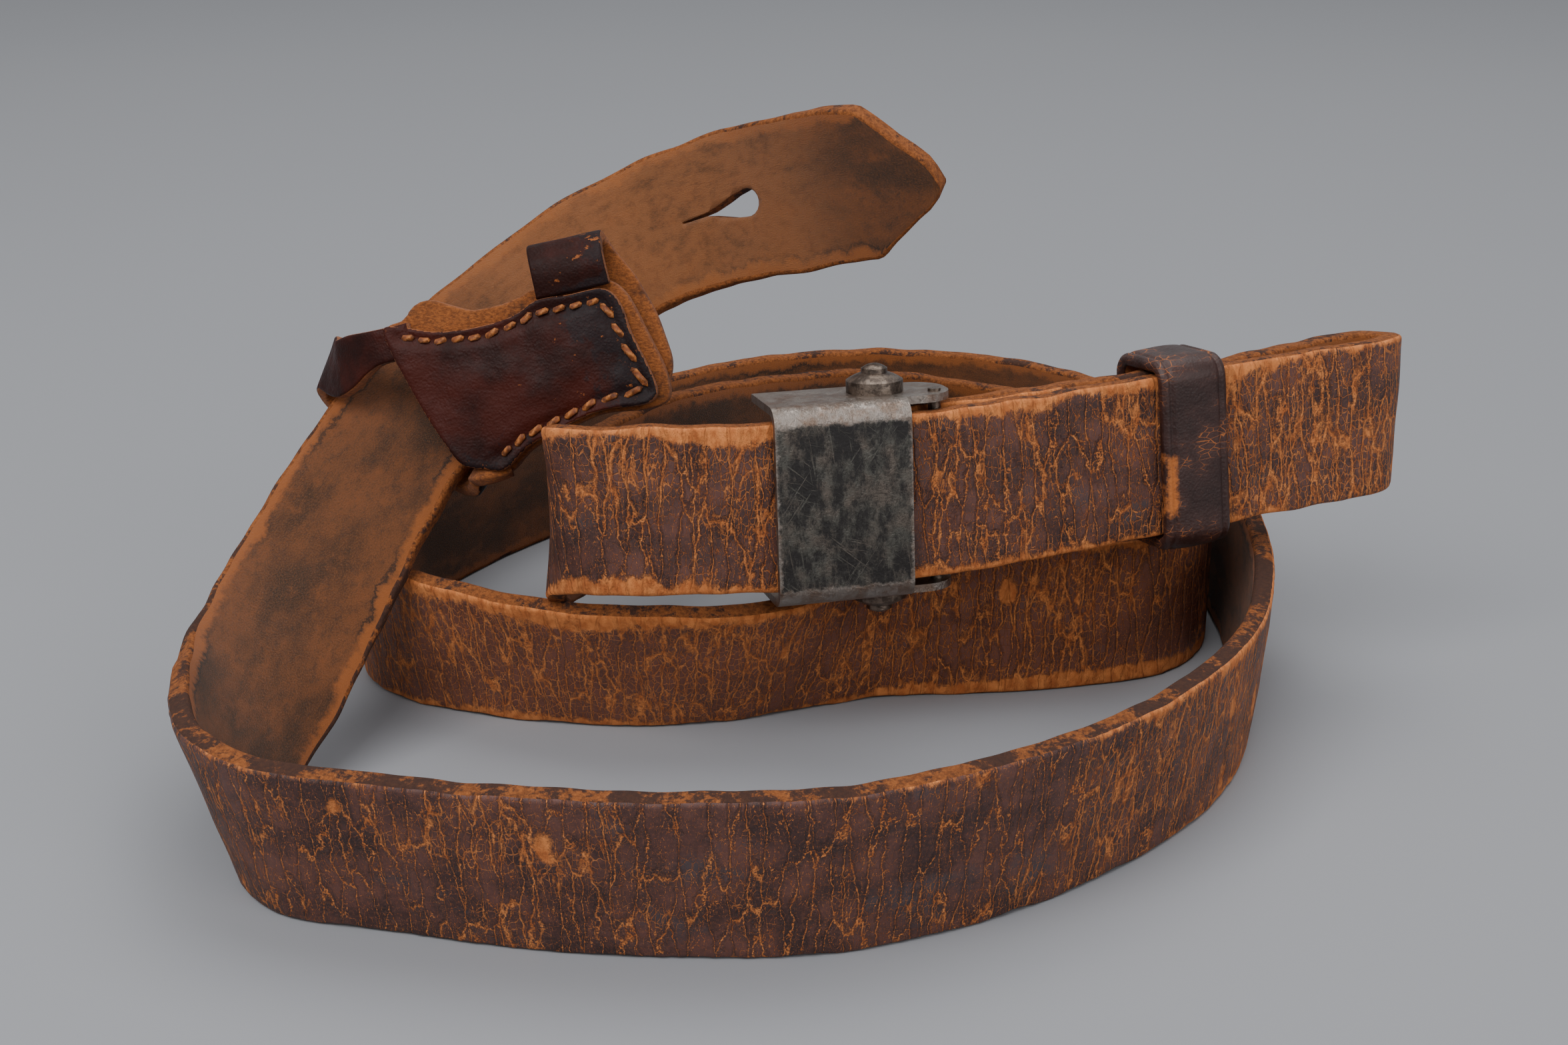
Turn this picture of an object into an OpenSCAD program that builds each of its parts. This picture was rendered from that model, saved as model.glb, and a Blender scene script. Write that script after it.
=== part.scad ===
// Coiled leather carrying sling with a steel clamp buckle, a keeper loop and a stud frog.
// Millimetres, +Z up. The coil stands on z = 0 and its box is centred over the origin.

/* [Strap] */
// Width of the strap
strap_w = 25.6; // [24.6:0.1:25.8]
// Thickness of the strap leather
strap_t = 3.2; // [2.8:0.1:3.3]
// Thickness of the thinned strap end that is folded round the anchor pin
skived_t = 1.8; // [1.6:0.1:1.8]
// Length of the pointed end, from its shoulders to its point
point_len = 13; // [12:0.5:15]
// Radius of the round hole of the keyhole
keyhole_r = 2.4; // [2:0.1:3]
// Width of the slit of the keyhole
slit_w = 1.2; // [0.8:0.1:2]
// Length of the slit, from the hole's centre
slit_len = 12; // [9:0.5:14]

/* [Buckle] */
// Width of the buckle's front plate, along the strap
plate_w = 21; // [19:0.5:22]
// Thickness of the buckle's sheet steel
sheet_t = 1.2; // [1:0.1:1.3]
// Gap between the strap and the front plate
plate_gap = 0.7; // [0.65:0.05:0.9]
// Radius of the pivot pin
pin_r = 2; // [1.8:0.1:2]
// Radius of the domed washers on the pivot pin
dome_r = 4.35; // [4:0.05:4.6]
// Radius of the friction bar
bar_r = 1; // [0.8:0.1:1]

/* [Keeper] */
// Width of the keeper, along the strap
keeper_w = 11.5; // [9:0.5:12]
// Thickness of the keeper leather
keeper_t = 2.2; // [1.8:0.1:2.2]

/* [Frog] */
// Thickness of each leather layer of the frog
frog_t = 2.6; // [2.3:0.1:2.6]
// Radius of the stud's button head
stud_r = 5.5; // [4.5:0.1:5.6]
// Radius of the stud's neck
neck_r = 2.1; // [1.8:0.1:2.3]
// Diameter of the waxed thread
thread_d = 1; // [0.8:0.1:1.2]

/* [Hidden] */

// Moves the coil so that its box is centred over the origin.
set_down = [-6.1, -27.4, 0.07];
// Radial play of a pin in its hole.
play = 0.05;

// The buckle's place: the middle of the strap under the plate, the turn about Z and the lean.
buckle_at = [8.4, -8.6, 41.8];
buckle_turn = 14;
buckle_lean = -7.5;
// In the buckle's own axes: u along the strap, v backwards from the strap's middle, w up.
pin_u = 7.5;
pin_v = 6.05;
bar_u = 16;
bar_v = 2.95;
wrap_r = pin_r + 0.3 + skived_t / 2;
plate_front_v = -(strap_t / 2 + plate_gap + sheet_t);
ear_back_v = 11.3;
outer_h = 30.5;
bend_r = 3;

// The doubled strap between buckle and right fold: its start, turn and rise.
run_at = [32.4, -1.8, 42.1];
run_turn = 22;
run_rise = 2;

// The frog's front face, and where on the strap its slot sits.
frog_at = [-44.7, 8.5, 55];
slot_i = 27;
stud_at = [-10, 8];

// Colours
c_grain = [0.24, 0.16, 0.15];
c_flesh = [0.5, 0.31, 0.18];
c_frog = [0.25, 0.1, 0.1];
c_edge = [0.68, 0.38, 0.18];
c_steel = [0.3, 0.29, 0.28];
c_worn = [0.55, 0.5, 0.46];
c_thread = [0.8, 0.5, 0.28];

function unit(v) = v / norm(v);

// A point given in a frame that is leant about its own X, raised along X, turned about Z, and placed at p.
function put(p, turn, lean, rise, q) =
    let (y = q[1] * cos(lean) - q[2] * sin(lean), z = q[1] * sin(lean) + q[2] * cos(lean),
         x = q[0] * cos(rise) - z * sin(rise), h = q[0] * sin(rise) + z * cos(rise))
    p + [x * cos(turn) - y * sin(turn), x * sin(turn) + y * cos(turn), h];
function buckle_pt(u, v) = put(buckle_at, buckle_turn, buckle_lean, 0, [u, v, 0]);
function run_pt(u, v) = put(run_at, run_turn, buckle_lean, run_rise, [u, v, 0]);
function stop(p, lean, t) = [p[0], p[1], p[2], lean, t];

// A stop whose lower edge rests on the floor.
function on_floor(x, y, lean) = [x, y, strap_w / 2 * cos(lean) + strap_t / 2 * abs(sin(lean)), lean, strap_t];

// The strap's route. Each stop is x, y, z of its middle, the lean of its upper edge towards the
// grain side in degrees, and its thickness. First the pointed end and the way down through the frog.
tip_stops = [for (s = [
        [25, 23.5, 83, -14], [19, 26, 82.7, -13], [11, 30.5, 81.6, -10], [1, 38.5, 78, 2], [-12, 45.5, 73.5, 19],
        [-26, 46, 67.5, 36], [-38.5, 38.5, 61, 50], [-50, 28.5, 53.8, 60], [-60, 18.5, 45.5, 65],
        [-67.5, 9, 35.5, 68], [-73, -1, 26.5, 66], [-77.3, -13.5, 19, 53], [-80, -26, 14.2, 34],
        [-80.5, -39, 12.8, 20], [-77, -50.5, 12.8, 14], [-68.5, -59, 12.8, 12]
    ]) [s[0], s[1], s[2], s[3], strap_t]];
// The large outer turn: along the front, round the right end, along the back, round the left end.
outer_stops = [for (s = [
        [-54, -63, 12], [-36, -67, 11], [-16, -69.2, 10], [5, -68.3, 9], [25, -61, 8], [43, -49, 8],
        [59, -33, 6], [70, -14, 5], [76, 8, 4], [78.5, 30, 3], [78, 54, 2], [74, 77, 1],
        [66, 100, 0], [52, 116, 0], [34, 124.5, 0], [14, 126, 0], [-6, 120, 0], [-24, 107, 0],
        [-41, 91, 0], [-56, 71.5, 0], [-67, 51, 1], [-71.5, 32, 3], [-69, 17, 6]
    ]) on_floor(s[0], s[1], s[2])];
// The inner turn: along the middle, round the right end and up to the left fold.
inner_stops = concat(
    [for (s = [
        [-61, 8, 11], [-48, 1.2, 17], [-33, -3, 22], [-18, -3.8, 24], [-4, -1.2, 26], [8, 4.8, 20],
        [15, 9, 12], [22, 11.3, 6], [35, 13, 3], [49, 15.6, 2], [63, 21, 0], [71, 31, 0]
    ]) on_floor(s[0], s[1], s[2])],
    [for (s = [
        [73, 45, 13.8], [69, 59, 15.2], [59, 69.5, 17.2], [45, 75, 19.6], [29, 75.5, 22.2], [13, 71, 25],
        [-1, 61, 27], [-13, 49, 29], [-22, 36, 30.5], [-28.5, 23, 31.2], [-32.5, 11, 32],
        [-34, 2, 34.4], [-34.2, -4, 38.4], [-32.4, -9.6, 40.8]
    ]) [s[0], s[1], s[2], 0, strap_t]],
    [[-28, -12.4, 41.6, -6, strap_t]]
);
// Through the buckle, along the doubled part, round the right fold and back to the buckle.
buckle_stops = concat(
    [stop([-15, -12.9, 42], buckle_lean, strap_t)],
    [for (u = [-12, 0, 12]) stop(buckle_pt(u, 0), buckle_lean, strap_t)],
    [for (u = [0, 15, 30, 45, 56]) stop(run_pt(u, 0), buckle_lean, strap_t)],
    [for (f = [[64, -0.7, -6], [70.2, -0.1, -5], [73.6, 2.8, 0], [71.6, 6.6, 6], [65, 7.8, 7], [56, 5.9, 7],
               [45, 4, 7], [34, 3.7, 7], [24, 3.9, 7], [17, 5, 7], [10, 5.7, 7]])
        stop(run_pt(f[0], f[1]), f[2], strap_t)],
    [stop(run_pt(4, 5.9), 7, 0.7 * strap_t + 0.3 * skived_t),
     stop(run_pt(-2, 6.9), 7, skived_t),
     stop(buckle_pt(bar_u, 8.1), 7, skived_t)]
);
// Round the pivot pin: an arc in the buckle's axes, then the tail behind the friction bar.
wrap_stops = [for (a = [72 : 22 : 292])
    stop(buckle_pt(pin_u + wrap_r * cos(a), pin_v + wrap_r * sin(a)), -buckle_lean * sin(a), skived_t)];
tail_stops = [stop(buckle_pt(bar_u - 0.5, 6), buckle_lean, skived_t),
    stop(run_pt(-2, 4.9), buckle_lean, skived_t),
    stop(run_pt(3, 3.2), buckle_lean, skived_t),
    stop(run_pt(8, 3), buckle_lean, skived_t),
    stop(run_pt(13.5, 3), buckle_lean, skived_t)];
stops = concat(tip_stops, outer_stops, inner_stops, buckle_stops, wrap_stops, tail_stops);

// Centripetal spline through the stops.
function knot(a, b) = sqrt(max(norm([b[0] - a[0], b[1] - a[1], b[2] - a[2]]), 0.01));
function mix(a, b, ta, tb, t) = a * ((tb - t) / (tb - ta)) + b * ((t - ta) / (tb - ta));
function spline(p0, p1, p2, p3, f) =
    let (t1 = knot(p0, p1), t2 = t1 + knot(p1, p2), t3 = t2 + knot(p2, p3), t = t1 + (t2 - t1) * f,
         a1 = mix(p0, p1, 0, t1, t), a2 = mix(p1, p2, t1, t2, t), a3 = mix(p2, p3, t2, t3, t),
         b1 = mix(a1, a2, 0, t2, t), b2 = mix(a2, a3, t1, t3, t))
    mix(b1, b2, t1, t2, t);
function ends(s) = concat([2 * s[0] - s[1]], s, [2 * s[len(s) - 1] - s[len(s) - 2]]);
function steps_for(a, b) = max(1, round(norm([b[0] - a[0], b[1] - a[1], b[2] - a[2]]) / 4));
function sweep_points(s) =
    let (e = ends(s))
    concat([for (i = [1 : len(e) - 3], k = [0 : steps_for(e[i], e[i + 1]) - 1])
                spline(e[i - 1], e[i], e[i + 1], e[i + 2], k / steps_for(e[i], e[i + 1]))],
           [e[len(e) - 2]]);

function place(p) = [p[0], p[1], p[2]];
// Direction of the strap at a point of the swept route.
function heading(r, i) = unit(place(r[min(i + 1, len(r) - 1)]) - place(r[max(i - 1, 0)]));
// Unit vector from the strap's lower to its upper edge.
function upward(t, lean) =
    let (u = unit([0, 0, 1] - t * t[2]), n = cross(t, u))
    u * cos(lean) + n * sin(lean);
// The four corners of the strap's section: w across, d towards the grain side.
function section(p, t, w, half_w) =
    let (g = cross(t, w), c = place(p) + set_down, d = p[4] / 2)
    [c - w * half_w - g * d, c - w * half_w + g * d, c + w * half_w + g * d, c + w * half_w - g * d];

// A strap of rectangular section swept along a route as one closed solid.
module sweep(r, half_w) {
    n = len(r);
    points = [for (i = [0 : n - 1])
        each let (t = heading(r, i)) section(r[i], t, upward(t, r[i][3]), half_w)];
    sides = [for (i = [0 : n - 2], k = [0 : 3])
        each let (a = 4 * i + k, b = 4 * i + (k + 1) % 4) [[a, b, b + 4], [a, b + 4, a + 4]]];
    caps = [[3, 2, 1, 0], [4 * n - 4, 4 * n - 3, 4 * n - 2, 4 * n - 1]];
    polyhedron(points = points, faces = concat(caps, sides), convexity = 20);
}

strap_route = sweep_points(stops);

// Places children at a point of the route: X back along the strap, Y to its upper edge, Z out of its grain side.
module on_strap(i) {
    t = heading(strap_route, i);
    w = upward(t, strap_route[i][3]);
    g = cross(t, w);
    c = place(strap_route[i]) + set_down;
    multmatrix([[t[0], w[0], g[0], c[0]], [t[1], w[1], g[1], c[1]], [t[2], w[2], g[2], c[2]], [0, 0, 0, 1]])
        children();
}

// The buckle's axes: X along the strap, Y backwards, Z up its width.
module in_buckle() {
    translate(buckle_at + set_down) rotate([0, 0, buckle_turn]) rotate([buckle_lean, 0, 0]) children();
}

// The same axes for the doubled strap that the keeper slides on.
module on_run() {
    translate(run_at + set_down) rotate([0, 0, run_turn]) rotate([0, -run_rise, 0])
        rotate([buckle_lean, 0, 0]) children();
}

// The frog's axes: X along its length, Y up its face, Z out of its front face.
module in_frog() {
    translate(frog_at + set_down) rotate([0, 0, -6]) rotate([72, 0, 0]) rotate([0, 0, 14]) children();
}

// One stitch of thread that lies on a face, along X.
module stitch(len) {
    rotate([0, 90, 0]) cylinder(d = thread_d, h = len, center = true, $fn = 24);
}

// A row of stitches on the XY plane from a to b.
module stitch_row(a, b, count) {
    d = b - a;
    len = norm(d) / count;
    for (k = [0 : count - 1])
        translate(a + d * ((k + 0.5) / count)) rotate([0, 0, atan2(d[1], d[0]) + 8]) stitch(len - 0.7);
}

module main_strap() {
    color(c_grain)
    difference() {
        sweep(strap_route, strap_w / 2);
        // The point: two cuts that meet at the strap's end.
        on_strap(0)
            for (s = [-1, 1])
                translate([-1, s * 1.5, -10])
                    rotate([0, 0, s * atan2(strap_w / 2 - 1.5, point_len)])
                        translate([-10, s > 0 ? 0 : -30, 0])
                            cube([50, 30, 20]);
        // The keyhole.
        on_strap(9) {
            cylinder(r = keyhole_r, h = 20, center = true, $fn = 48);
            translate([0, -slit_w / 2, -10]) cube([slit_len, slit_w, 20]);
        }
    }
}

module strap_end_stitches() {
    color(c_thread)
    on_run()
        for (u = [6, 11])
            translate([u, 7.3, 0])
                rotate([90, 0, 0])
                    stitch_row([0, -10, 0], [0, 10, 0], 5);
}

// The outline of one flange of the buckle: straight behind the plate, rounded at the ear.
module flange_shape() {
    difference() {
        union() {
            translate([-plate_w / 2, plate_front_v + bend_r])
                square([plate_w / 2 + 13.5, ear_back_v - plate_front_v - bend_r]);
            translate([13.5, 4.5]) square([5, 1.8]);
            for (v = [4.5, 6.3]) translate([13.5, v]) circle(r = 5, $fn = 64);
        }
        translate([pin_u, pin_v]) circle(r = pin_r, $fn = 48);
        translate([bar_u, bar_v]) circle(r = bar_r, $fn = 32);
    }
}

module buckle_body() {
    flat_h = outer_h - 2 * bend_r;
    color(c_steel)
    in_buckle() {
        translate([-plate_w / 2, plate_front_v, -flat_h / 2]) cube([plate_w, sheet_t, flat_h]);
        for (s = [-1, 1]) {
            // The bend between the plate and the flange.
            translate([-plate_w / 2, plate_front_v + bend_r, s * flat_h / 2])
                rotate([0, 90, 0])
                    intersection() {
                        difference() {
                            cylinder(r = bend_r, h = plate_w, $fn = 64);
                            translate([0, 0, -1]) cylinder(r = bend_r - sheet_t, h = plate_w + 2, $fn = 64);
                        }
                        translate([s > 0 ? -2 * bend_r : 0, -2 * bend_r, 0])
                            cube([2 * bend_r, 2 * bend_r, plate_w]);
                    }
            translate([0, 0, s > 0 ? outer_h / 2 - sheet_t : -outer_h / 2])
                linear_extrude(height = sheet_t) flange_shape();
        }
    }
}

module pivot_pin() {
    color(c_worn)
    in_buckle()
        translate([pin_u, pin_v, 0]) {
            cylinder(r = pin_r, h = outer_h + 7.2, center = true, $fn = 48);
            for (s = [0, 180])
                rotate([s, 0, 0]) translate([0, 0, outer_h / 2 + 3.6])
                    intersection() {
                        translate([0, 0, -2.3]) sphere(r = 3, $fn = 48);
                        cylinder(r = pin_r, h = 3, $fn = 48);
                    }
        }
}

module pin_washers() {
    color(c_worn)
    in_buckle()
        translate([pin_u, pin_v, 0])
            for (s = [0, 180])
                rotate([s, 0, 0]) translate([0, 0, outer_h / 2])
                    difference() {
                        intersection() {
                            cylinder(r = dome_r, h = 3.3, $fn = 64);
                            translate([0, 0, -4.2]) sphere(r = 7.4, $fn = 64);
                        }
                        translate([0, 0, -1]) cylinder(r = pin_r, h = 6, $fn = 48);
                    }
}

module friction_bar() {
    color(c_worn)
    in_buckle()
        translate([bar_u, bar_v, 0]) cylinder(r = bar_r, h = outer_h + 0.8, center = true, $fn = 32);
}

// A rectangle with rounded corners, centred.
module round_rect(size, r) {
    square([size[0] - 2 * r, size[1]], center = true);
    square([size[0], size[1] - 2 * r], center = true);
    for (x = [-1, 1], y = [-1, 1])
        translate([x * (size[0] / 2 - r), y * (size[1] / 2 - r)]) circle(r = r, $fn = 48);
}

keeper_u = 33.3;
keeper_back_v = 8.6;
keeper_front_v = -2.1;
keeper_h = strap_w + 1;

module keeper_band() {
    depth = keeper_back_v - keeper_front_v;
    color(c_grain)
    on_run()
        translate([keeper_u, (keeper_back_v + keeper_front_v) / 2, 0])
            rotate([90, 0, 90])
                translate([0, 0, -keeper_w / 2])
                    linear_extrude(height = keeper_w)
                        difference() {
                            round_rect([depth + 2 * keeper_t, keeper_h + 2 * keeper_t], 3);
                            round_rect([depth, keeper_h], 0.8);
                        }
}

module keeper_stitches() {
    color(c_thread)
    on_run()
        translate([keeper_u, keeper_back_v + keeper_t + 0.2, 0])
            rotate([90, 0, 0])
                for (w = [-4, 0, 4])
                    translate([0, w, 0]) {
                        translate([-2.6, 0, 0]) stitch(3.4);
                        translate([2.6, 0, 0]) stitch(3.4);
                    }
}

// The frog's front layer: its top edge, right edge, bottom edge and the slot's edge.
module front_shape() {
    polygon([[-14.6, 12.2], [-9, 10], [-0.6, 9.2], [5.5, 9.9], [8.6, 11.4], [19.8, 10.2], [21.4, 8.4],
        [22.3, 3.1], [24.1, -4], [24.2, -6.8], [23, -8], [15.1, -7.5], [8.4, -8.7], [2.6, -10.6],
        [-1.8, -13.6], [-5, -12.6], [-8, -11.3], [-10.1, -7.3], [-12.3, -1.9], [-14.3, 4.4], [-15.2, 7.8],
        [-17.5, 8.2], [-17.5, 12.2]]);
}

// The frog's back layer: wider at the top and at the right.
module back_shape() {
    polygon([[-17.5, 12.2], [-13, 12.4], [-11, 14.2], [-8.4, 14.6], [-5, 13], [-2, 11.8], [6.1, 12.3], [8, 13],
        [20, 13.4], [23.2, 12.2], [26, 2.8], [27.2, -4.8], [25.8, -8.2], [22, -8.6], [15.1, -8.1],
        [8.4, -9.2], [2.6, -11], [-1.8, -14], [-5, -13], [-7.6, -11.3], [-9.9, -7.3], [-12.2, -1.9],
        [-14.1, 4.4], [-15, 8], [-17.5, 8.2]]);
}

module frog_front() {
    color(c_frog)
    in_frog() translate([0, 0, -frog_t]) linear_extrude(height = frog_t) front_shape();
}

// The strip behind the strap, and its two ends that reach forward past the strap's edges.
strip_in = strap_w / 2 + 1;
strip_out = strip_in + 2.6;
strip_near = strap_t / 2 + 1.2;
module strip_end(side, front, depth, inset) {
    translate([inset - 3, (side > 0 ? strip_in : -strip_out) + inset, -front])
        cube([6 - 2 * inset, strip_out - strip_in - 2 * inset, depth]);
}

module frog_back() {
    color(c_edge)
    difference() {
        union() {
            in_frog() translate([0, 0, -2 * frog_t]) linear_extrude(height = frog_t) back_shape();
            on_strap(slot_i)
                translate([-3, -strip_out, strip_near]) cube([6, 2 * strip_out, 2.4]);
            on_strap(slot_i) {
                strip_end(1, 4.4, strip_near + 6, 0);
                strip_end(-1, 3, strip_near + 4.6, 0);
            }
            // From the face's upper left corner, past the strap's upper edge.
            hull() {
                in_frog() translate([-17.2, 8.6, -4.9]) cube([2.4, 3.2, 4.4]);
                in_frog() translate([-26.4, 5.6, -9.8]) cube([2.6, 5.6, 2.6]);
            }
            hull() {
                on_strap(slot_i) strip_end(1, 4, 1.2, 0.3);
                in_frog() translate([-26.1, 5.9, -9.5]) cube([2, 5, 2]);
            }
            // From the face's lower left corner, past the strap's lower edge.
            hull() {
                on_strap(slot_i) strip_end(-1, 2.6, 1, 0.3);
                in_frog() translate([-4.9, -12.6, -4.9]) cube([4.8, 2.3, 1.9]);
            }
        }
        in_frog() {
            // Clears the front layer.
            translate([0, 0, -frog_t]) linear_extrude(height = 20) front_shape();
            // The stud's bore and the pocket of its hidden head.
            translate([stud_at[0], stud_at[1], -3 * frog_t]) cylinder(r = neck_r + play, h = 4 * frog_t, $fn = 48);
            translate([stud_at[0], stud_at[1], -frog_t - 1.3]) cylinder(r = 4.2, h = 3, $fn = 48);
        }
    }
}

// The small loop on the frog's upper edge, and its tongue behind the back layer.
module frog_loop() {
    color(c_frog)
    in_frog()
        translate([8, 0, 0]) rotate([90, 0, 90])
            linear_extrude(height = 13)
                difference() {
                    union() {
                        translate([15.9, -frog_t - 1.6]) circle(r = 3.9, $fn = 64);
                        translate([5, -2 * frog_t - 2.3]) square([10.9, 2.1]);
                        translate([13.6, -frog_t + 0.2]) square([2.3, 2.1]);
                    }
                    translate([15.9, -frog_t - 1.6]) circle(r = 2, $fn = 64);
                    translate([-1, -2 * frog_t - 0.1]) square([14.5, 2 * frog_t + 4]);
                }
}

module frog_stitches() {
    color(c_thread)
    in_frog() translate([0, 0, 0.15]) {
        stitch_row([-13.5, 10.4, 0], [-8.6, 8.4, 0], 2);
        stitch_row([-8.2, 8.3, 0], [-0.6, 7.6, 0], 3);
        stitch_row([0, 7.6, 0], [5.4, 8.3, 0], 2);
        stitch_row([6, 8.6, 0], [18.6, 8.8, 0], 5);
        stitch_row([19.8, 7.4, 0], [20.8, 2.6, 0], 2);
        stitch_row([20.9, 2.2, 0], [22.6, -5.6, 0], 3);
        stitch_row([21.4, -6.4, 0], [15, -6, 0], 3);
        stitch_row([14.4, -6.1, 0], [2.9, -8.8, 0], 5);
    }
}

module stud_plate() {
    color(c_steel)
    in_frog() translate([stud_at[0], stud_at[1], -2 * frog_t - 0.8])
        difference() {
            cylinder(r = 4.4, h = 0.8, $fn = 64);
            translate([0, 0, -1]) cylinder(r = neck_r + play, h = 3, $fn = 48);
        }
}

module stud() {
    neck_end = -2 * frog_t - 0.8 - 3.8;
    color(c_worn)
    in_frog() translate([stud_at[0], stud_at[1], 0]) {
        translate([0, 0, neck_end]) cylinder(r = neck_r, h = -frog_t - 0.35 - neck_end, $fn = 48);
        translate([0, 0, -frog_t - 1.2]) cylinder(r = 3.8, h = 0.9, $fn = 48);
        rotate([180, 0, 0]) translate([0, 0, -neck_end])
            intersection() {
                cylinder(r = stud_r, h = 2, $fn = 64);
                translate([0, 0, -9]) sphere(r = 11, $fn = 96);
            }
    }
}

main_strap();
strap_end_stitches();
buckle_body();
pivot_pin();
pin_washers();
friction_bar();
keeper_band();
keeper_stitches();
frog_front();
frog_back();
frog_loop();
frog_stitches();
stud_plate();
stud();
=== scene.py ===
"""Looks of a coiled leather carrying sling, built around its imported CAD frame.

The strap, the keeper and the frog are swept or moulded from mesh code with procedural leather.
The buckle, its pins and the stud keep their CAD shape and get worn steel.
Lengths are in metres once they are in the scene; the route and the outlines are listed in millimetres.
"""

import math

import bmesh
import bpy
import numpy as np
from mathutils import Matrix, Vector, noise


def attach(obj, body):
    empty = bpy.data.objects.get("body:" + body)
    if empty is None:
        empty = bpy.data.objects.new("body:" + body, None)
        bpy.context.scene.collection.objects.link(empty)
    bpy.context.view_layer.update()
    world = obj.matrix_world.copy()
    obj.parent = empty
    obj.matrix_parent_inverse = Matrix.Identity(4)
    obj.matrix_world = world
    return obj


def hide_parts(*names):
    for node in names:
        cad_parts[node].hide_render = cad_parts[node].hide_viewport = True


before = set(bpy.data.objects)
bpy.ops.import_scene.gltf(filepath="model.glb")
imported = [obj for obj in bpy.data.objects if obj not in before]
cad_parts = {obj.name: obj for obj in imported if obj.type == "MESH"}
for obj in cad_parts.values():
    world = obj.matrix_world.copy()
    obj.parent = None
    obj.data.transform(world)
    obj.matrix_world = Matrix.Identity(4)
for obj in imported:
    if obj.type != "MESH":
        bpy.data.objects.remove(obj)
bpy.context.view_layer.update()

MM = 0.001
SET_DOWN = np.array([-6.1, -27.4, 0.07])

# Strap
STRAP_W = 25.6
STRAP_T = 3.2
SKIVED_T = 1.8
POINT_LEN = 12.5
STEP = 1.1

# Buckle axes: u along the strap, v backwards, w up.
BUCKLE_AT = np.array([8.4, -8.6, 41.8])
BUCKLE_TURN = 14
LEAN = -7.5
PIN_U, PIN_V, PIN_R = 7.5, 6.05, 2
BAR_U = 16
WRAP_R = PIN_R + 0.3 + SKIVED_T / 2
RUN_AT = np.array([32.4, -1.8, 42.1])
RUN_TURN = 22
RUN_RISE = 2
# How far behind the outer run's middle the folded end's back face lies.
FOLD_BACK = 7.35
KEEPER_U = 33.3
KEEPER_W = 11.5
KEEPER_T = 2.2
# How far the keeper's inside lies in front of and behind the outer run's middle.
KEEPER_FRONT, KEEPER_BACK = 2.1, 8.6

# Frog axes: x along its length, y up its face, z out of its front face.
FROG_AT = np.array([-44.7, 8.5, 55])
FROG_T = 2.6


# ---------------------------------------------------------------- small maths
def unit(v):
    v = np.asarray(v, float)
    return v / np.linalg.norm(v)


def turn_matrix(axis, degrees):
    return np.array(Matrix.Rotation(math.radians(degrees), 3, axis))


BUCKLE_R = turn_matrix("Z", BUCKLE_TURN) @ turn_matrix("X", LEAN)
RUN_R = turn_matrix("Z", RUN_TURN) @ turn_matrix("Y", -RUN_RISE) @ turn_matrix("X", LEAN)
FROG_R = turn_matrix("Z", -6) @ turn_matrix("X", 72) @ turn_matrix("Z", 14)


def buckle_pt(u, v, w=0):
    return BUCKLE_AT + BUCKLE_R @ np.array([u, v, w], float)


def run_pt(u, v, w=0):
    return RUN_AT + RUN_R @ np.array([u, v, w], float)


def frog_pt(x, y, z=0):
    return FROG_AT + FROG_R @ np.array([x, y, z], float)


def placed(points):
    """Millimetres of the route's own axes to metres of the row frame."""
    return (np.asarray(points, float) + SET_DOWN) * MM


def smoothstep(a, b, x):
    f = np.clip((np.asarray(x, float) - a) / (b - a), 0, 1)
    return f * f * (3 - 2 * f)


# ---------------------------------------------------------------- the strap's route
def on_floor(x, y, lean):
    a = math.radians(lean)
    return [x, y, STRAP_W / 2 * math.cos(a) + STRAP_T / 2 * abs(math.sin(a)), lean, STRAP_T]


TIP = [
    [25, 23.5, 83, -14], [19, 26, 82.7, -13], [11, 30.5, 81.6, -10], [1, 38.5, 78, 2], [-12, 45.5, 73.5, 19],
    [-26, 46, 67.5, 36], [-38.5, 38.5, 61, 50], [-50, 28.5, 53.8, 60], [-60, 18.5, 45.5, 65],
    [-67.5, 9, 35.5, 68], [-73, -1, 26.5, 66], [-77.3, -13.5, 19, 53], [-80, -26, 14.2, 34],
    [-80.5, -39, 12.8, 20], [-77, -50.5, 12.8, 14], [-68.5, -59, 12.8, 12],
]
OUTER = [
    [-54, -63, 12], [-36, -67, 11], [-16, -69.2, 10], [5, -68.3, 9], [25, -61, 8], [43, -49, 8],
    [59, -33, 6], [70, -14, 5], [76, 8, 4], [78.5, 30, 3], [78, 54, 2], [74, 77, 1],
    [66, 100, 0], [52, 116, 0], [34, 124.5, 0], [14, 126, 0], [-6, 120, 0], [-24, 107, 0],
    [-41, 91, 0], [-56, 71.5, 0], [-67, 51, 1], [-71.5, 32, 3], [-69, 17, 6],
]
INNER = [
    [-61, 8, 11], [-48, 1.2, 17], [-33, -3, 22], [-18, -3.8, 24], [-4, -1.2, 26], [8, 4.8, 20],
    [15, 9, 12], [22, 11.3, 6], [35, 13, 3], [49, 15.6, 2], [63, 21, 0], [71, 31, 0],
]
RISE = [
    [73, 45, 13.8], [69, 59, 15.2], [59, 69.5, 17.2], [45, 75, 19.6], [29, 75.5, 22.2], [13, 71, 25],
    [-1, 61, 27], [-13, 49, 29], [-22, 36, 30.5], [-28.5, 23, 31.2], [-32.5, 11, 32],
    [-34, 2, 34.4], [-34.2, -4, 38.4], [-32.4, -9.6, 40.8],
]
FOLD = [
    [64, -0.7, -6], [70.2, -0.1, -5], [73.6, 2.8, 0], [71.6, 6.6, 6], [65, 7.8, 7], [56, 5.9, 7],
    [45, 4, 7], [34, 3.7, 7], [24, 3.9, 7], [17, 5, 7], [10, 5.7, 7],
]


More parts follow.
